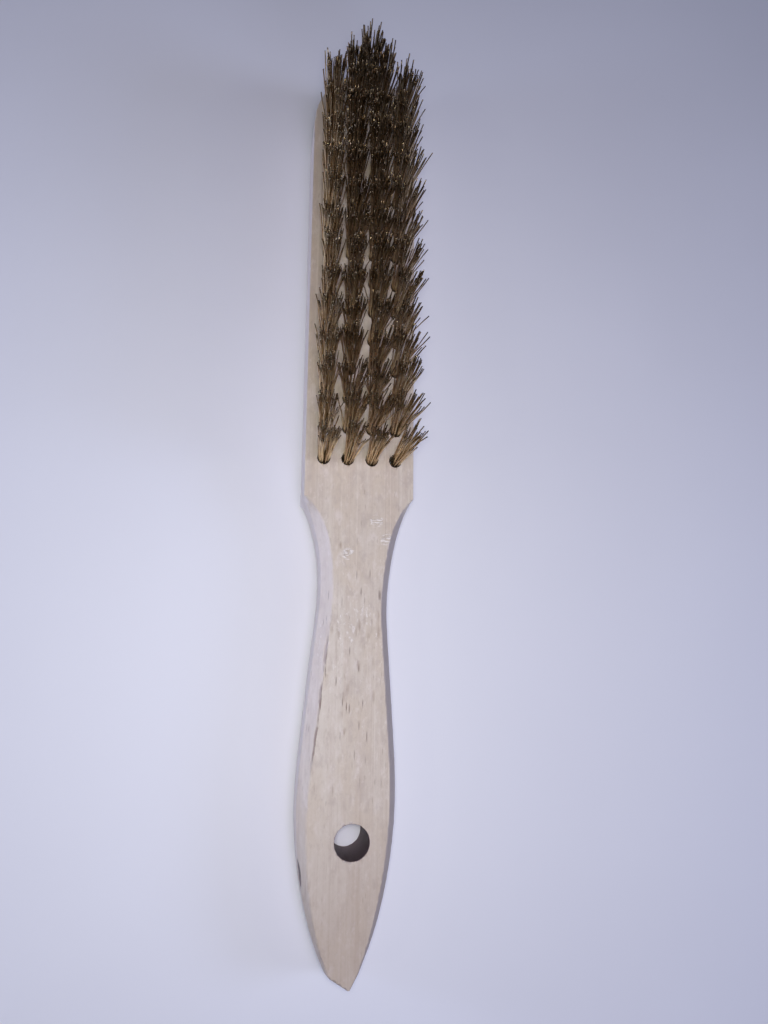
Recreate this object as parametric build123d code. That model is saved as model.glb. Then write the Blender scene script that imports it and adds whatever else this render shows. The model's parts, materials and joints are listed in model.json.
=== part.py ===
from build123d import *
import os

# Hand wire brush. It lies on its back: bristles up (+Z), bristle head towards +Y, tail towards -Y.
# Origin: middle of the back face of the whole brush. Millimetres.
# A "station" is a distance along the brush from the tail's tip; y_at() turns it into Y.

# ---- driving dimensions -------------------------------------------------------------------------
LENGTH = 280.0            # tail tip to head end
HEAD_WIDTH = 33.1
THICKNESS = 19.5          # one plank thickness all along
NOSE_REACH = 19.5         # the head's end is half an ellipse, this long
SHOULDER_STATION = 137.0  # where the head steps in to the grip
BEVEL_DEPTH = 4.0         # bevels on the grip's long edges, front and back, reach this far down the side

HANG_HOLE_DIAMETER = 10.0
HANG_HOLE_X = -0.5
HANG_HOLE_STATION = 38.8

COLUMNS = 4
ROWS = 13
COLUMN_PITCH = 7.3
ROW_PITCH = 9.5
FIRST_ROW_STATION = 148.7
NOSE_PAIR_STEP = 6.2      # the nose pair stands this far past the last full row
NOSE_PAIR_X = 4.2
NOSE_TIP_STEP = 11.2      # and the single nose tuft this far past it

TUFT_HOLE_DIAMETER = 4.0
TUFT_HOLE_DEPTH = 12.0
TUFT_ROOT_CLEARANCE = 0.05
WIRE_REACH = 27.0         # free wire length above the wood
FAN_WIDTH = 6.6           # the wires fan out across the brush
FAN_DEPTH = 5.0           # and less along it

ANCHOR_LENGTH = 5.2       # longer than the hole is wide, so its ends bite into the wood
ANCHOR_HEIGHT = 2.0
ANCHOR_GAUGE = 0.45
WIRE_LOOP = 0.9           # room for the folded wires under the anchor

# Grip outline, station and distance from the brush's centre line, from shoulder to tail.
# The grip was milled a little to the left of the head's centre line.
LEFT_SIDE = [(137.0, 16.55), (128.0, 13.0), (118.0, 11.1), (108.0, 10.8), (92.0, 12.3),
             (72.0, 14.3), (47.0, 16.1), (28.0, 14.5), (14.0, 11.1), (4.2, 7.0)]
RIGHT_SIDE = [(137.0, 16.55), (128.0, 12.8), (117.0, 10.4), (105.0, 9.3), (92.0, 9.9),
              (72.0, 11.3), (49.0, 12.3), (30.0, 10.4), (15.0, 6.8), (4.6, 2.6)]
TAIL_TIP_X = -0.6
TAIL_TIP_BEVEL = 0.6

# How far the bevels reach in along the face, at the stations above: none at the shoulder.
LEFT_BEVEL = [0, 3.0, 3.4, 3.5, 3.5, 3.3, 2.8, 2.0, 1.3, 0.8]
RIGHT_BEVEL = [0, 2.0, 2.1, 2.1, 2.1, 2.1, 2.1, 2.0, 1.7, 1.0]


def y_at(station):
    return station - LENGTH / 2


def column_x(column):
    return COLUMN_PITCH * (column - (COLUMNS - 1) / 2)


def tuft_places():
    """Every tuft's node name with its place on the face."""
    places = {}
    for row in range(ROWS):
        for column in range(COLUMNS):
            name = f"tuft_row{row + 1:02d}_col{column + 1}"
            places[name] = (column_x(column), y_at(FIRST_ROW_STATION + row * ROW_PITCH))
    last_row = FIRST_ROW_STATION + (ROWS - 1) * ROW_PITCH
    places["tuft_nose_left"] = (-NOSE_PAIR_X, y_at(last_row + NOSE_PAIR_STEP))
    places["tuft_nose_right"] = (NOSE_PAIR_X, y_at(last_row + NOSE_PAIR_STEP))
    places["tuft_nose_tip"] = (0.0, y_at(last_row + NOSE_TIP_STEP))
    return places


def block_outline(bevelled):
    """The plank's outline: straight head sides, elliptic nose, curved grip, pointed tail."""
    half = HEAD_WIDTH / 2
    nose_start = y_at(LENGTH - NOSE_REACH)
    share = 1 if bevelled else 0
    left = [(share * bevel - x, y_at(station)) for (station, x), bevel in zip(LEFT_SIDE, LEFT_BEVEL)]
    right = [(x - share * bevel, y_at(station)) for (station, x), bevel in zip(RIGHT_SIDE, RIGHT_BEVEL)]
    tip = (TAIL_TIP_X, y_at(share * TAIL_TIP_BEVEL))
    with BuildSketch() as sketch:
        with BuildLine():
            Line(right[0], (half, nose_start))
            EllipticalCenterArc((0, nose_start), half, NOSE_REACH, 0, arc_size=180)
            Line((-half, nose_start), left[0])
            Spline(left)
            Line(left[-1], tip)
            Line(tip, right[-1])
            Spline(right)
        make_face()
    return sketch.sketch


def plank():
    """The plank with its grip bevelled towards the back face and towards the front face."""
    face = block_outline(bevelled=True)
    waist = block_outline(bevelled=False)
    low, high = BEVEL_DEPTH, THICKNESS - BEVEL_DEPTH
    back = loft([face, Pos(0, 0, low) * waist], ruled=True)
    middle = Pos(0, 0, low) * extrude(waist, high - low)
    front = loft([Pos(0, 0, high) * waist, Pos(0, 0, THICKNESS) * face], ruled=True)
    return back + middle + front


def anchor_at(x, y):
    """A flat strip on edge, lying along the brush near the bottom of a tuft hole."""
    bottom = THICKNESS - TUFT_HOLE_DEPTH + WIRE_LOOP
    place = Location((x, y, bottom + ANCHOR_HEIGHT / 2))
    return place * Box(ANCHOR_GAUGE, ANCHOR_LENGTH, ANCHOR_HEIGHT)


def tuft_at(x, y):
    """A bundle of wires: a round root in its hole, then an oval fan; slotted over its anchor."""
    root_radius = TUFT_HOLE_DIAMETER / 2 - TUFT_ROOT_CLEARANCE
    bottom = THICKNESS - TUFT_HOLE_DEPTH
    root = Pos(x, y, bottom) * Cylinder(
        root_radius, TUFT_HOLE_DEPTH, align=(Align.CENTER, Align.CENTER, Align.MIN))
    mouth = Pos(x, y, THICKNESS) * Circle(root_radius)
    tips = Pos(x, y, THICKNESS + WIRE_REACH) * Ellipse(FAN_WIDTH / 2, FAN_DEPTH / 2)
    return root + loft([mouth, tips]) - anchor_at(x, y)


def handle_block():
    """The one-piece wooden block with its hanging hole, tuft holes and anchor bites."""
    block = plank()
    block -= Pos(HANG_HOLE_X, y_at(HANG_HOLE_STATION), THICKNESS / 2) * Cylinder(
        HANG_HOLE_DIAMETER / 2, 2 * THICKNESS)
    cutters = []
    for x, y in tuft_places().values():
        cutters.append(Pos(x, y, THICKNESS) * Cylinder(
            TUFT_HOLE_DIAMETER / 2, TUFT_HOLE_DEPTH, align=(Align.CENTER, Align.CENTER, Align.MAX)))
        cutters.append(anchor_at(x, y))
    return block - cutters


def main():
    os.makedirs("parts", exist_ok=True)
    export_step(handle_block(), "parts/handle.step")
    places = tuft_places()
    for name, (x, y) in places.items():
        export_step(tuft_at(x, y), f"parts/{name}.step")
    anchors = Compound(children=[anchor_at(x, y) for x, y in places.values()])
    export_step(anchors, "parts/anchor_strips.step")


main()
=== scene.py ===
import json
import math

import bpy
import numpy as np
from mathutils import Matrix, Vector


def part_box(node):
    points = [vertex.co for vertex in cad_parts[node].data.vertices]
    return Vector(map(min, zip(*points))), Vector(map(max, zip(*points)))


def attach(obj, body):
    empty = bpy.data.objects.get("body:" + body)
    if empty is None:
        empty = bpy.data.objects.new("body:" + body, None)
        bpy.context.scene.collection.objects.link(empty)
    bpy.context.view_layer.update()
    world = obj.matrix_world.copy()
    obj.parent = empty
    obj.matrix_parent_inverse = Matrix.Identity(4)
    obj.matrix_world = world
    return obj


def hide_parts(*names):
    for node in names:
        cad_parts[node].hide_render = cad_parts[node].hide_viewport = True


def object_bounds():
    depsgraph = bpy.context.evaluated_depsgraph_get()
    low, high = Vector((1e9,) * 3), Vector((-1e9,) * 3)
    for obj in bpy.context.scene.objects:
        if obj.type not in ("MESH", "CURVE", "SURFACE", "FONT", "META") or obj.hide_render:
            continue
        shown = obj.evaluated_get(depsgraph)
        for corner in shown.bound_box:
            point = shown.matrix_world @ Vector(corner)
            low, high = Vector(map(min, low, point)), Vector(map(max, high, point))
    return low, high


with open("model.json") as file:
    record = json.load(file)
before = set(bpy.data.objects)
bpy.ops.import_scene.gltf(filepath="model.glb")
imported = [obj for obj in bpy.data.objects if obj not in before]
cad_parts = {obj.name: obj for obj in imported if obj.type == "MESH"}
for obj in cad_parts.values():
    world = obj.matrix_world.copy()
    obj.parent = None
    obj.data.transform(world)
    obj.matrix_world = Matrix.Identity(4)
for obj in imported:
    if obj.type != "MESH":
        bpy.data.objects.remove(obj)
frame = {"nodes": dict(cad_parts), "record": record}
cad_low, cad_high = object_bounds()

MM = 0.001

# ---- driving values --------------------------------------------------------------------------
WIRE_DIAMETER = 0.34 * MM
WIRE_SIDES = 6
WIRE_SPANS = 8             # straight pieces in one wire leg
TUFT_HOLE_RADIUS = 2.0 * MM
WIRE_PACKING = 0.44 * MM   # distance between neighbouring wires where they leave the wood
BUNDLE_RADIUS = 1.86 * MM
ANCHOR_GAP = 0.12 * MM     # half the gap that the anchor leaves in the middle of the bundle
ROOT_DEPTH = 5.0 * MM      # how far down the hole the wires are modelled
FAN_LEAN = -1.5 * MM       # the worn wires lean to the left as a whole
LEFT_SPLAY = 3.1 * MM      # how far the first column's tips stand out to the left
RIGHT_SPLAY = 4.6 * MM     # how far the last column's tips stand out to the right
NOSE_SPLAY = 3.8 * MM      # and the three nose tufts' tips, to both sides
INNER_SPLAY = 3.5 * MM     # and all other tips, towards the neighbouring column
TOE_SPLAY = 0.8 * MM       # how much wider the inner sides splay at the worn toe
FRONT_LEAN = 1.3 * MM      # the first row leans up the brush, the nose leans back by as much
EDGE_LEAN = 0.3 * MM       # the last column leans outward
TIP_SPREAD = 1.4           # a tip is this much further up or down the brush than its root
ABOVE_REACH = 0.9 * MM     # no tip stands higher than this above its tuft's nominal height
STRAY_SHARE = 0.05         # this share of the wires is bent out of place
END_SLOPE = 1.0            # the wire ends are nipped off at a slant
ROOT_JITTER = 0.03 * MM    # standard deviations of the wires' unevenness
TUFT_JITTER = 0.35 * MM
CLUMP_JITTER = 0.45 * MM
TIP_JITTER = (0.7 * MM, 1.4 * MM)
STRAY_JITTER = 1.5 * MM
LENGTH_JITTER = 0.7 * MM
WAVE_JITTER = 0.17 * MM

NET_STEP = 0.50 * MM       # the block's net of faces, across the grain
NET_STRETCH = 2.0          # and how much longer its faces are along the grain
SHARP_ANGLE = math.radians(32)
SEED = 11

# Places on the block, in millimetres: from the centre line, and from the tail's tip (a "station").
TEARS = 60                 # small torn spots, scattered over the neck
DEEP_TEARS = ((-9.0, 91.0), (-10.0, 88.0))
DEEP_TEAR_SIZE = (0.7, 6.0, 1.0)
CHIPS = ((5.4, 130.0), (8.6, 124.4), (-3.0, 119.9))
CHIP_SIZE = (2.4, 1.9, 1.0)
SCAR = (-15.6, 28.3)
SCAR_SIZE = (2.0, 7.0, 5.0)
SCAR_BELOW_FACE = 6.0      # where the scar's middle is, on the bevelled side
TEAR_DEPTH = 0.3
SCAR_DEPTH = 0.7
CHIP_HEIGHT = 0.1
SHOULDER_STATION = 137.0
HEAD_WALL_X = -14.5        # what lies further out is the head's left wall
GRIP_WALL_X = -8.0         # and the grip's
ARRIS_STATION = 80.0
ARRIS_X = -10.1            # where the left bevel meets the face at that station
ARRIS_SLOPE = 0.111        # and how the line runs
# Two holes of the first row have lost the wires left of this, from the hole's centre.
GONE = {"tuft_row01_col4": -0.7, "tuft_row01_col2": -1.3}

# Colours, linear.
BEECH_DEEP = (0.527, 0.432, 0.333)
BEECH_LIGHT = (0.622, 0.546, 0.441)
BEECH_WARM = (0.57, 0.47, 0.348)
# painted light: the left side and its bevels, lighter as if lit from the left
LEFT_SIDE_LIGHT = (0.78, 0.69, 0.645)
# painted shade: the right bevels, darker as if turned from the light
RIGHT_SIDE_SHADE = (0.30, 0.255, 0.26)
GRIMY_WOOD = (0.36, 0.27, 0.20)
# painted shade in the hanging hole
BORE_SHADE = (0.095, 0.042, 0.052)
BARK = (0.06, 0.03, 0.032)
BRASS_DEEP = (0.58, 0.375, 0.17)
BRASS_BRIGHT = (1.0, 0.85, 0.53)
TARNISH = (0.35, 0.225, 0.104)
FLOOR_GREYS = (0.74, 0.74, 0.745), (0.79, 0.79, 0.795)
STEEL_GREYS = (0.33, 0.32, 0.31), (0.52, 0.51, 0.49)

# The room: metres from the frame's origin.
FLOOR_HALF = 1.6
CAMERA_PLACE = (-0.0307, -0.0504, 0.2543)
CAMERA_TURN = (10.195, -9.364, 0.602)      # degrees
CAMERA_LENS = 28.25
MIDDLE = (0, 0, 0.01)
FLASH_TINT = (0.97, 1.0, 0.86)
SOFT_TINT = (1.08, 1.0, 1.48)
WINDOW_TINT = (0.86, 1.0, 1.55)
SKY_STRENGTH = 0.02

nodes = frame["nodes"]
record = frame["record"]
wood_low, wood_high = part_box("handle")
face_z = wood_high.z
tuft_names = sorted(name for name in nodes if name.startswith("tuft_"))
tail_y = wood_low.y
mounts = {mount["name"]: mount for mount in record["mounts"]}
hang_hole = Vector(mounts["hang_hole"]["pos_m"])
hang_radius = mounts["hang_hole"]["dims"]["r_mm"] * MM


def hole_centre(name):
    low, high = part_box(name)
    return (low.x + high.x) / 2, (low.y + high.y) / 2


tuft_holes = {name: hole_centre(name) for name in tuft_names}
first_row_y = tuft_holes["tuft_row01_col1"][1]
last_row_y = tuft_holes["tuft_row13_col1"][1]
last_column_x = tuft_holes["tuft_row01_col4"][0]


# ---- small helpers ---------------------------------------------------------------------------
def link(obj):
    bpy.context.scene.collection.objects.link(obj)
    return obj


def mesh_object(name, verts, faces, smooth=True):
    mesh = bpy.data.meshes.new(name)
    mesh.from_pydata(verts, [], faces)
    if smooth:
        mesh.polygons.foreach_set("use_smooth", [True] * len(mesh.polygons))
    mesh.update()
    return link(bpy.data.objects.new(name, mesh))


class Nodes:
    """A short way to build a material's node tree."""

    def __init__(self, name):
        self.material = bpy.data.materials.new(name)
        self.material.use_nodes = True
        self.tree = self.material.node_tree
        self.tree.nodes.clear()
        self.out = self.tree.nodes.new("ShaderNodeOutputMaterial")
        self.shader = self.tree.nodes.new("ShaderNodeBsdfPrincipled")
        self.link(self.shader.outputs[0], self.out.inputs["Surface"])

    def link(self, a, b):
        self.tree.links.new(a, b)

    def feed(self, socket, value):
        if isinstance(value, bpy.types.NodeSocket):
            self.link(value, socket)
        else:
            socket.default_value = value

    def math(self, kind, a, b=0.0, c=None):
        node = self.tree.nodes.new("ShaderNodeMath")
        node.operation = kind
        self.feed(node.inputs[0], a)
        self.feed(node.inputs[1], b)
        if c is not None:
            self.feed(node.inputs[2], c)
        return node.outputs[0]

    def place(self, scale, offset=(0, 0, 0)):
        """Object coordinates in millimetres, stretched by scale."""
        coord = self.tree.nodes.new("ShaderNodeTexCoord")
        mapping = self.tree.nodes.new("ShaderNodeMapping")
        mapping.inputs["Scale"].default_value = [s / MM for s in scale]
        mapping.inputs["Location"].default_value = offset
        self.link(coord.outputs["Object"], mapping.inputs["Vector"])
        return mapping.outputs[0]

    def split(self, vector):
        node = self.tree.nodes.new("ShaderNodeSeparateXYZ")
        self.link(vector, node.inputs[0])
        return node.outputs

    def noise(self, vector, detail=3.0, rough=0.5, distort=0.0):
        node = self.tree.nodes.new("ShaderNodeTexNoise")
        self.link(vector, node.inputs["Vector"])
        node.inputs["Scale"].default_value = 1.0
        node.inputs["Detail"].default_value = detail
        node.inputs["Roughness"].default_value = rough
        node.inputs["Distortion"].default_value = distort
        return node.outputs["Fac"]

    def voronoi(self, vector, output="Distance"):
        node = self.tree.nodes.new("ShaderNodeTexVoronoi")
        self.link(vector, node.inputs["Vector"])
        node.inputs["Scale"].default_value = 1.0
        return node.outputs[output]

    def span(self, value, low, high, to_low=0.0, to_high=1.0, smooth=True):
        node = self.tree.nodes.new("ShaderNodeMapRange")
        node.interpolation_type = "SMOOTHSTEP" if smooth else "LINEAR"
        self.feed(node.inputs["Value"], value)
        node.inputs["From Min"].default_value = low
        node.inputs["From Max"].default_value = high
        node.inputs["To Min"].default_value = to_low
        node.inputs["To Max"].default_value = to_high
        return node.outputs["Result"]

    def mix(self, factor, a, b, blend="MIX"):
        node = self.tree.nodes.new("ShaderNodeMix")
        node.data_type = "RGBA"
        node.blend_type = blend
        self.feed(node.inputs["Factor"], factor)
        colour_inputs = [s for s in node.inputs if s.type == "RGBA"]
        for socket, value in zip(colour_inputs, (a, b)):
            self.feed(socket, value if isinstance(value, bpy.types.NodeSocket) else (*value, 1.0))
        return [s for s in node.outputs if s.type == "RGBA"][0]

    def attribute(self, name):
        node = self.tree.nodes.new("ShaderNodeAttribute")
        node.attribute_name = name
        return node.outputs["Fac"]

    def bump(self, height, distance, strength):
        node = self.tree.nodes.new("ShaderNodeBump")
        node.inputs["Strength"].default_value = strength
        node.inputs["Distance"].default_value = distance
        self.link(height, node.inputs["Height"])
        return node.outputs["Normal"]


# ---- materials -------------------------------------------------------------------------------
def station_mm(station):
    """The Y of a station on the block, in millimetres."""
    return tail_y / MM + station


def beech_grain(n, fine):
    """Bands along the grain, blotches, clouds, and thin growth lines over the whole length."""
    bands = n.noise(n.place((0.16, 0.006, 0.16)), 3.0, 0.55, 0.4)
    tone = n.math("ADD", n.math("MULTIPLY", bands, 0.6), n.math("MULTIPLY", fine, 0.4))
    colour = n.mix(n.span(tone, 0.36, 0.64), BEECH_DEEP, BEECH_LIGHT)
    blotch = n.noise(n.place((0.11, 0.05, 0.11)), 3.0, 0.6)
    colour = n.mix(n.span(blotch, 0.40, 0.64, 0.0, 0.6), colour, BEECH_WARM)
    cloud = n.noise(n.place((0.30, 0.16, 0.30), (7, 3, 1)), 4.0, 0.6)
    colour = n.mix(n.span(cloud, 0.50, 0.72, 0.0, 0.65), colour, (0.465, 0.38, 0.305))
    colour = n.mix(n.span(cloud, 0.46, 0.28, 0.0, 0.6), colour, (0.69, 0.605, 0.52))
    mottle = n.noise(n.place((0.9, 0.45, 0.9), (2, 9, 4)), 4.0, 0.65)
    colour = n.mix(n.span(mottle, 0.52, 0.72, 0.0, 0.4), colour, (0.44, 0.355, 0.275))
    colour = n.mix(n.span(mottle, 0.47, 0.30, 0.0, 0.4), colour, (0.70, 0.62, 0.53))
    lines = n.noise(n.place((0.9, 0.004, 0.3), (5, 0, 2)), 2.0, 0.6)
    colour = n.mix(n.span(lines, 0.60, 0.68, 0.0, 0.3), colour, (0.42, 0.32, 0.235))
    return n.mix(n.span(lines, 0.40, 0.32, 0.0, 0.3), colour, (0.74, 0.655, 0.54))


def short_marks(n, cells, size, share):
    """Thin dashes along the grain: one in some of the cells, from 0 to 1."""
    dash = n.span(n.voronoi(cells), 0.08, size, 1.0, 0.0)
    return n.math("MULTIPLY", dash, n.span(n.voronoi(cells, output="Color"), share[0], share[1]))


def cutter_marks(n, split):
    """The grip's face is rough from the cutter: nicks, and lifted specks."""
    worked = n.math("MULTIPLY", n.span(split["Y"], station_mm(133), station_mm(112)),
                    n.span(split["Y"], station_mm(40), station_mm(78)))
    marks = short_marks(n, n.place((1.2, 0.13, 1.2), (2, 7, 3)), 0.26, (0.48, 0.60))
    nick = n.math("MULTIPLY", marks, worked)
    patches = n.noise(n.place((0.16, 0.07, 0.16), (4, 4, 1)), 2.0, 0.6)
    specks = n.noise(n.place((1.3, 0.6, 1.3), (1, 4, 2)), 3.0, 0.65)
    roughest = n.math("MULTIPLY", n.span(split["Y"], station_mm(78), station_mm(86), 0.3, 1.0),
                      n.span(split["Y"], station_mm(108), station_mm(100), 0.35, 1.0))
    speck = n.math("MULTIPLY", n.span(specks, 0.52, 0.68), n.span(patches, 0.42, 0.6))
    return nick, n.math("MULTIPLY", speck, n.math("MULTIPLY", worked, roughest))


def torn_arris(n, split):
    """A broken, torn line where the left bevel meets the face."""
    arris_start = ARRIS_X - ARRIS_SLOPE * station_mm(ARRIS_STATION)
    line_x = n.math("MULTIPLY_ADD", split["Y"], ARRIS_SLOPE, arris_start)
    wobble = n.math("MULTIPLY", n.math("SUBTRACT", n.noise(n.place((0.3, 0.18, 0.3)), 3.0), 0.5), 1.6)
    off_line = n.math("ABSOLUTE", n.math("SUBTRACT", n.math("SUBTRACT", split["X"], line_x), wobble))
    along = n.math("MULTIPLY", n.span(split["Y"], station_mm(56), station_mm(64)),
                   n.span(split["Y"], station_mm(98), station_mm(93)))
    front = n.span(split["Z"], face_z / MM - 1.0, face_z / MM - 0.5)
    broken = n.span(n.noise(n.place((0.2, 0.12, 0.2), (9, 2, 1)), 2.0), 0.40, 0.52)
    torn = n.math("MULTIPLY", n.span(off_line, 0.16, 0.42, 1.0, 0.0), n.math("MULTIPLY", along, front))
    return n.math("MULTIPLY", torn, broken)


def painted_bore_shade(n, split, fine):
    """Painted shade on the hanging hole's wall, and a little of its rim."""
    off_x = n.math("SUBTRACT", split["X"], hang_hole.x / MM)
    off_y = n.math("SUBTRACT", split["Y"], hang_hole.y / MM)
    away = n.math("SQRT", n.math("ADD", n.math("POWER", off_x, 2.0), n.math("POWER", off_y, 2.0)))
    rim = n.math("ADD", away, n.math("MULTIPLY", fine, 0.2))
    return n.span(rim, hang_radius / MM + 0.12, hang_radius / MM + 0.22, 0.93, 0.0)


def beech_material():
    n = Nodes("beech")
    split = n.split(n.place((1, 1, 1)))
    fine = n.noise(n.place((1.7, 0.03, 1.7)), 4.0, 0.6)
    colour = beech_grain(n, fine)
    # short dark pores, thicker along some rings
    rings = n.noise(n.place((0.45, 0.02, 0.45)), 2.0)
    pore = n.math("MULTIPLY", short_marks(n, n.place((1.9, 0.20, 1.9)), 0.24, (0.45, 0.6)),
                  n.span(rings, 0.44, 0.6))
    colour = n.mix(n.math("MULTIPLY", pore, 0.45), colour, (0.30, 0.21, 0.14))
    nick, speck = cutter_marks(n, split)
    colour = n.mix(n.math("MULTIPLY", nick, 0.75), colour, (0.25, 0.175, 0.13))
    colour = n.mix(n.math("MULTIPLY", speck, 0.65), colour, (0.88, 0.81, 0.73))
    torn = torn_arris(n, split)
    colour = n.mix(n.math("MULTIPLY", torn, 0.85), colour, (0.22, 0.15, 0.115))
    # tears, chips and bark, painted on the mesh, with painted light on the left side and painted shade on
    # the right bevels
    colour = n.mix(n.span(n.attribute("tear"), 0.3, 1.0, 0.0, 0.6), colour, (0.32, 0.23, 0.17))
    flakes = n.noise(n.place((0.6, 1.9, 0.6), (3, 3, 8)), 3.0, 0.6)
    flake = n.math("MULTIPLY", n.span(flakes, 0.50, 0.58), n.span(n.attribute("chip"), 0.05, 0.5))
    colour = n.mix(n.math("MULTIPLY", flake, 0.7), colour, (0.90, 0.84, 0.76))
    # painted light on the left side and its bevels
    colour = n.mix(n.math("MULTIPLY", n.attribute("painted_left_light"), 0.8), colour, LEFT_SIDE_LIGHT)
    # painted shade on the right bevels
    colour = n.mix(n.math("MULTIPLY", n.attribute("painted_right_shade"), 0.65), colour, RIGHT_SIDE_SHADE)
    ragged = n.math("MULTIPLY_ADD", n.noise(n.place((0.5, 0.35, 0.5)), 3.0), 0.5, n.attribute("scar"))
    colour = n.mix(n.span(ragged, 0.42, 0.62), colour, BARK)
    # handling has darkened the tail
    grimy = n.span(split["Y"], station_mm(8), station_mm(62), 0.42, 0.0)
    colour = n.mix(grimy, colour, GRIMY_WOOD)
    # painted shade on the hanging hole's wall and rim
    colour = n.mix(painted_bore_shade(n, split, fine), colour, BORE_SHADE)
    n.link(colour, n.shader.inputs["Base Color"])
    n.link(n.span(fine, 0.3, 0.7, 0.5, 0.68), n.shader.inputs["Roughness"])
    fibres = n.noise(n.place((5.0, 0.12, 5.0)), 3.0, 0.6)
    height = n.math("ADD", fibres, n.math("MULTIPLY", pore, -1.2))
    height = n.math("ADD", height, n.math("MULTIPLY", n.math("MAXIMUM", speck, flake), 1.8))
    height = n.math("ADD", height, n.math("MULTIPLY", n.math("MAXIMUM", nick, torn), -4.0))
    n.link(n.bump(height, 0.05 * MM, 0.8), n.shader.inputs["Normal"])
    return n.material


def wire_material():
    n = Nodes("brass_coated_wire")
    n.shader.inputs["Metallic"].default_value = 1.0
    split = n.split(n.place((1, 1, 1)))
    tone = n.noise(n.place((0.9, 0.9, 0.25)), 3.0)
    tarnish = n.noise(n.place((0.25, 0.25, 0.12), (3, 1, 7)), 2.0)
    height = n.attribute("height")
    wear = n.attribute("wear")
    nipped = n.attribute("nipped")
    bright = n.math("ADD", n.span(tone, 0.35, 0.65, 0.0, 0.25), n.span(wear, 0.40, 0.80, 0.0, 0.75))
    colour = n.mix(bright, BRASS_DEEP, BRASS_BRIGHT)
    colour = n.mix(n.span(tarnish, 0.45, 0.7, 0.0, 0.4), colour, TARNISH)
    # painted shade: the wires darker further up from the wood
    colour = n.mix(n.span(height, 0.2, 0.9, 0.0, 0.35), colour, (0.30, 0.20, 0.098))
    # painted shade among the wires: the middle columns darker, more and more towards the toe
    toeward = n.span(split["Y"], first_row_y / MM, last_row_y / MM, 0.04, 0.40, smooth=False)
    inward = n.span(split["X"], -last_column_x / MM - 1.5, -last_column_x / MM + 5, 0.2, 1.0)
    colour = n.mix(n.math("MULTIPLY", toeward, inward), colour, (0.14, 0.096, 0.052))
    # painted shade: the tips are made darkest of all; most nipped ends are dull, and a few are still shiny
    colour = n.mix(n.span(height, 0.76, 0.94, 0.0, 0.6), colour, (0.105, 0.068, 0.038))
    shiny = n.span(wear, 0.015, 0.02, 1.0, 0.0)
    colour = n.mix(n.math("MULTIPLY", nipped, 0.93), colour, (0.035, 0.025, 0.016))
    colour = n.mix(n.math("MULTIPLY", nipped, shiny), colour, (0.75, 0.68, 0.55))
    n.link(colour, n.shader.inputs["Base Color"])
    rough = n.span(tone, 0.3, 0.7, 0.25, 0.38)
    ends = n.span(shiny, 0.0, 1.0, 0.25, -0.2)
    n.link(n.math("MULTIPLY_ADD", nipped, ends, rough), n.shader.inputs["Roughness"])
    draw = n.noise(n.place((9.0, 9.0, 0.6)), 2.0)
    n.link(n.bump(draw, 0.01 * MM, 0.6), n.shader.inputs["Normal"])
    return n.material


def anchor_material():
    n = Nodes("anchor_steel")
    n.shader.inputs["Metallic"].default_value = 1.0
    grain = n.noise(n.place((2.0, 0.3, 2.0)), 3.0)
    n.link(n.mix(grain, *STEEL_GREYS), n.shader.inputs["Base Color"])
    n.link(n.span(grain, 0.3, 0.7, 0.35, 0.55), n.shader.inputs["Roughness"])
    return n.material


def floor_material():
    n = Nodes("floor_paint")
    mottle = n.noise(n.place((0.012, 0.012, 0.012)), 4.0)
    n.link(n.mix(mottle, *FLOOR_GREYS), n.shader.inputs["Base Color"])
    n.link(n.span(mottle, 0.3, 0.7, 0.55, 0.65), n.shader.inputs["Roughness"])
    return n.material


# ---- the wires -------------------------------------------------------------------------------
def bundle_layout():
    """Where the wires of a tuft leave the wood: close-packed, split by the anchor's gap."""
    spots = []
    row_step = WIRE_PACKING * math.sqrt(3) / 2
    reach = int(BUNDLE_RADIUS / row_step) + 1
    for i in range(-reach, reach + 1):
        for j in range(-reach - 2, reach + 3):
            y = i * row_step
            x = (j + 0.5 * (i % 2)) * WIRE_PACKING
            if math.hypot(x, y) < BUNDLE_RADIUS - WIRE_DIAMETER / 2 and abs(x) > ANCHOR_GAP:
                spots.append((x, y))
    return np.array(spots)


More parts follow.
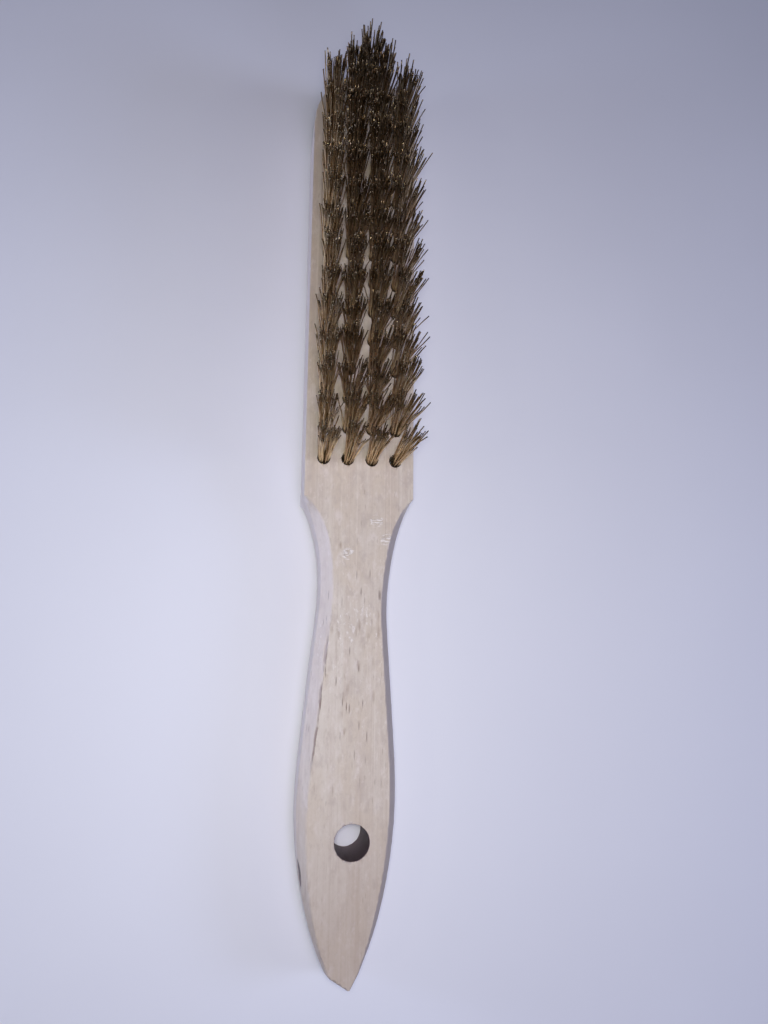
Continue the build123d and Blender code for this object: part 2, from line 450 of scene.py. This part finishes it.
def wire_paths(centre, reach, gone, rng):
    """The centre lines of a tuft's wires: up out of the hole, then fanning to both sides."""
    spots = bundle_layout()
    spots = spots[spots[:, 0] > gone * MM]
    spots = spots + rng.normal(0, ROOT_JITTER, spots.shape)
    count = len(spots)
    side = np.sign(spots[:, 0])
    edge = np.abs(spots[:, 0]) / BUNDLE_RADIUS
    outward = max(0.0, centre[0] / last_column_x)
    along = (centre[1] - first_row_y) / (last_row_y - first_row_y)
    lean = rng.normal(0, TUFT_JITTER, 2)
    lean[0] += FAN_LEAN + EDGE_LEAN * outward ** 2
    lean[1] += FRONT_LEAN * (1 - 2 * along)
    clump = rng.normal(0, CLUMP_JITTER, (2, 2))[(side > 0).astype(int)]
    tip = np.empty((count, 2))
    outer = side * centre[0] > last_column_x - 1 * MM
    splay = np.where(outer, np.where(side < 0, LEFT_SPLAY, RIGHT_SPLAY), INNER_SPLAY + TOE_SPLAY * along)
    if along > 1.01:       # beyond the last row: a nose tuft
        splay = NOSE_SPLAY
    tip[:, 0] = side * (0.05 + 0.95 * edge) * splay + rng.normal(0, TIP_JITTER[0], count)
    tip[:, 1] = spots[:, 1] * TIP_SPREAD + rng.normal(0, TIP_JITTER[1], count)
    stray = rng.random(count) < STRAY_SHARE
    tip[stray] += rng.normal(0, STRAY_JITTER, (stray.sum(), 2))
    tip = tip + lean + clump
    length = reach + rng.normal(0, LENGTH_JITTER, count) + 0.1 * MM
    # a wire that leans further out reaches less high
    away = np.hypot(*(tip - spots).T)
    top = np.sqrt(np.maximum(length ** 2 - away ** 2, (0.8 * reach) ** 2))
    top = np.minimum(top, reach + ABOVE_REACH)
    wave = rng.normal(0, WAVE_JITTER, (count, 2))
    phase = rng.uniform(0, 2 * math.pi, (count, 2))
    turns = rng.uniform(0.7, 1.6, (count, 1))
    points = np.empty((count, WIRE_SPANS + 2, 3))
    points[:, 0, :2] = spots
    points[:, 0, 2] = -ROOT_DEPTH
    for k in range(WIRE_SPANS + 1):
        t = k / WIRE_SPANS
        bend = 0.8 * t + 0.2 * t ** 2
        ripple = np.sin(2 * math.pi * turns * t + phase) - np.sin(phase)
        points[:, k + 1, :2] = spots + (tip - spots) * bend + wave * ripple * t
        points[:, k + 1, 2] = top * t
    return points + np.array((centre[0], centre[1], face_z))


def tubes(name, paths, rng):
    """One closed round wire along each path, nipped off flat and at a slant."""
    count, rings, _ = paths.shape
    heading = np.gradient(paths, axis=1)
    heading /= np.linalg.norm(heading, axis=2, keepdims=True)
    sideways = np.cross(heading, (0.0, 1.0, 0.0))
    sideways /= np.linalg.norm(sideways, axis=2, keepdims=True)
    across = np.cross(heading, sideways)
    angles = np.arange(WIRE_SIDES) * 2 * math.pi / WIRE_SIDES
    circle = (np.cos(angles)[:, None] * sideways[:, :, None, :]
              + np.sin(angles)[:, None] * across[:, :, None, :])
    verts = paths[:, :, None, :] + circle * WIRE_DIAMETER / 2
    slope = rng.uniform(0, END_SLOPE, (count, 1))
    turn = rng.uniform(0, 2 * math.pi, (count, 1))
    slant = slope * np.cos(angles + turn) * WIRE_DIAMETER / 2
    verts[:, -1] += slant[:, :, None] * heading[:, -1, None, :]
    faces = []
    for wire in range(count):
        start = wire * rings * WIRE_SIDES
        for ring in range(rings - 1):
            a = start + ring * WIRE_SIDES
            b = a + WIRE_SIDES
            for k in range(WIRE_SIDES):
                m = (k + 1) % WIRE_SIDES
                faces.append((a + k, b + k, b + m, a + m))
        last = start + (rings - 1) * WIRE_SIDES
        faces.append(tuple(start + k for k in range(WIRE_SIDES)))
        faces.append(tuple(last + k for k in reversed(range(WIRE_SIDES))))
    piece = mesh_object(name, verts.reshape(-1, 3).tolist(), faces)
    mesh = piece.data
    sides = np.array([len(face) == 4 for face in faces])
    mesh.polygons.foreach_set("use_smooth", sides)
    height = np.clip((paths[:, :, 2] - face_z) / (cad_high.z - face_z), 0, 1)
    wear = np.repeat(rng.random(count), rings * WIRE_SIDES)
    mesh.attributes.new("height", "FLOAT", "POINT").data.foreach_set("value", np.repeat(height, WIRE_SIDES))
    mesh.attributes.new("wear", "FLOAT", "POINT").data.foreach_set("value", wear)
    mesh.attributes.new("nipped", "FLOAT", "FACE").data.foreach_set("value", (~sides).astype(float))
    return piece


def make_tufts(material):
    rng = np.random.default_rng(SEED)
    for name in tuft_names:
        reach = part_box(name)[1].z - face_z
        gone = GONE.get(name, -BUNDLE_RADIUS / MM)
        piece = tubes("wires_" + name[5:], wire_paths(tuft_holes[name], reach, gone, rng), rng)
        piece.data.materials.append(material)
        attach(piece, "root")
        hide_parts(name)


# ---- the wooden block ------------------------------------------------------------------------
def remeshed_copy(node, name):
    """A copy of a CAD node's surface as an even net of faces, longer along the grain."""
    rough = link(bpy.data.objects.new(name + "_rough", nodes[node].data.copy()))
    squeeze = Matrix.Diagonal((1, 1 / NET_STRETCH, 1, 1))
    rough.data.transform(squeeze)
    net = rough.modifiers.new("net", "REMESH")
    net.mode = "VOXEL"
    net.voxel_size = NET_STEP
    shape = rough.evaluated_get(bpy.context.evaluated_depsgraph_get())
    mesh = bpy.data.meshes.new_from_object(shape)
    bpy.data.objects.remove(rough)
    mesh.transform(squeeze.inverted())
    mesh.name = name
    return link(bpy.data.objects.new(name, mesh))


def snap_to_bores(verts):
    """Puts the net's points near a drilled wall exactly on it, so that the holes stay round."""
    bores = [(x, y, TUFT_HOLE_RADIUS) for x, y in tuft_holes.values()]
    bores.append((hang_hole.x, hang_hole.y, hang_radius))
    for x, y, radius in bores:
        away = verts[:, :2] - (x, y)
        distance = np.hypot(away[:, 0], away[:, 1])
        lengthwise = np.abs(away[:, 1]) / np.maximum(distance, 1e-9)
        near = np.abs(distance - radius) < NET_STEP * (0.6 + 0.5 * lengthwise)
        verts[near, :2] = (x, y) + away[near] / distance[near, None] * radius


def pit(verts, centre, size):
    """From 0 to 1: how deep in an oval pit each point lies."""
    away = (verts - centre) / size
    return np.clip(1 - (away ** 2).sum(axis=1), 0, 1)


def on_face(x, station):
    """A point on the front face: millimetres from the centre line and from the tail's tip."""
    return (x * MM, tail_y + station * MM, face_z)


def make_block(material):
    piece = remeshed_copy("handle", "wood_block")
    mesh = piece.data
    count = len(mesh.vertices)
    verts = np.empty(count * 3)
    mesh.vertices.foreach_get("co", verts)
    verts = verts.reshape(-1, 3)
    snap_to_bores(verts)
    normals = np.empty(count * 3)
    mesh.vertices.foreach_get("normal", normals)
    normals = normals.reshape(-1, 3)
    rng = np.random.default_rng(SEED + 1)
    # torn fibres on the neck and the belly's front face, thickest where the neck widens
    tear = np.zeros(count)
    for _ in range(TEARS):
        spot = on_face(rng.uniform(-9, 6.5), rng.triangular(48, 88, 130))
        size = np.array((rng.uniform(0.5, 0.8), rng.uniform(1.2, 3.4), 1.0)) * MM
        tear = np.maximum(tear, rng.uniform(0.3, 1.0) * pit(verts, spot, size))
    # two deep tears side by side, where the left bevel meets the face
    for x, station in DEEP_TEARS:
        tear = np.maximum(tear, pit(verts, on_face(x, station), np.array(DEEP_TEAR_SIZE) * MM))
    # chips lifted by the cutter near the shoulder
    chip = np.zeros(count)
    for x, station in CHIPS:
        chip = np.maximum(chip, pit(verts, on_face(x, station), np.array(CHIP_SIZE) * MM))
    # a dark bark inclusion low on the tail's left edge
    scar_middle = on_face(*SCAR) - np.array((0, 0, SCAR_BELOW_FACE)) * MM
    scar = pit(verts, scar_middle, np.array(SCAR_SIZE) * MM)
    # painted light on the left side and its bevels, painted shade on the right bevels
    station = (verts[:, 1] - tail_y) / MM
    on_grip = np.clip((SHOULDER_STATION - 1 - station) / 4, 0, 1)
    tilt = np.abs(normals[:, 2])
    bevel = np.clip((0.93 - tilt) / 0.08, 0, 1) * np.clip((tilt - 0.2) / 0.15, 0, 1) * on_grip
    inner_x = np.where(station > SHOULDER_STATION, HEAD_WALL_X, GRIP_WALL_X) * MM
    # painted light on the left walls of the head and the grip
    left_wall_light = 0.6 * np.clip((0.3 - tilt) / 0.1, 0, 1) * np.clip((inner_x - verts[:, 0]) / (2 * MM), 0, 1)
    fading = np.clip((station - 20) / 60, 0, 1)
    painted_left_light = np.maximum(0.45 * fading * bevel * (normals[:, 0] < 0), left_wall_light)
    # painted shade on the right bevels
    painted_right_shade = bevel * (normals[:, 0] > 0)
    sunk = tear * TEAR_DEPTH + scar * SCAR_DEPTH - chip * CHIP_HEIGHT
    verts -= normals * sunk[:, None] * MM
    mesh.vertices.foreach_set("co", verts.ravel())
    painted = {"tear": tear, "chip": chip, "scar": scar, "painted_left_light": painted_left_light, "painted_right_shade": painted_right_shade}
    for name, values in painted.items():
        mesh.attributes.new(name, "FLOAT", "POINT").data.foreach_set("value", values)
    mesh.polygons.foreach_set("use_smooth", [True] * len(mesh.polygons))
    mesh.set_sharp_from_angle(angle=SHARP_ANGLE)
    mesh.materials.clear()
    mesh.materials.append(material)
    mesh.update()
    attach(piece, "root")
    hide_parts("handle")


# ---- the room --------------------------------------------------------------------------------
def make_floor(material):
    corners = [(-1, -1), (1, -1), (1, 1), (-1, 1)]
    verts = [(x * FLOOR_HALF, y * FLOOR_HALF, cad_low.z) for x, y in corners]
    floor = mesh_object("floor", verts, [(0, 1, 2, 3)], smooth=False)
    floor.data.materials.append(material)


def make_lamp(name, place, aim, size, power, tint):
    lamp = bpy.data.lights.new(name, "AREA")
    lamp.shape = "DISK"
    lamp.size = size
    lamp.energy = power
    lamp.color = tint
    obj = link(bpy.data.objects.new(name, lamp))
    obj.location = place
    obj.rotation_euler = (Vector(aim) - Vector(place)).to_track_quat("-Z", "Y").to_euler()
    obj.visible_camera = False


def make_lights():
    """A near lamp and a soft lamp overhead, three windows, and a small lamp at each side."""
    world = bpy.data.worlds.new("studio")
    world.use_nodes = True
    sky = world.node_tree.nodes["Background"]
    sky.inputs["Color"].default_value = (*WINDOW_TINT, 1.0)
    sky.inputs["Strength"].default_value = SKY_STRENGTH
    bpy.context.scene.world = world
    make_lamp("near_lamp", (-0.031, -0.050, 0.26), (-0.031, -0.050, 0), 0.03, 0.25, FLASH_TINT)
    make_lamp("soft_lamp", (-0.01, -0.055, 0.42), (-0.01, -0.055, 0), 0.15, 0.50, SOFT_TINT)
    make_lamp("left_window", (-0.42, 0.005, 0.05), MIDDLE, 0.13, 0.56, WINDOW_TINT)
    make_lamp("right_window", (0.70, -0.10, 0.45), MIDDLE, 0.3, 1.05, WINDOW_TINT)
    make_lamp("front_window", (0.20, -0.70, 0.45), MIDDLE, 0.3, 0.60, WINDOW_TINT)
    make_lamp("left_lamp", (-0.68, -0.19, 0.80), MIDDLE, 0.08, 0.2, FLASH_TINT)
    make_lamp("right_lamp", (0.66, -0.10, 0.80), MIDDLE, 0.08, 0.25, FLASH_TINT)


def make_camera():
    data = bpy.data.cameras.new("camera")
    data.lens = CAMERA_LENS
    data.sensor_width = 36.0
    data.clip_start = 0.01
    camera = link(bpy.data.objects.new("camera", data))
    camera.location = CAMERA_PLACE
    camera.rotation_euler = [math.radians(angle) for angle in CAMERA_TURN]
    bpy.context.scene.camera = camera


# ---- all together ----------------------------------------------------------------------------
make_block(beech_material())
make_tufts(wire_material())
anchors = nodes["anchor_strips"]
anchors.data.materials.clear()
anchors.data.materials.append(anchor_material())
make_floor(floor_material())
make_lights()
make_camera()
bpy.context.scene.view_settings.view_transform = "Standard"
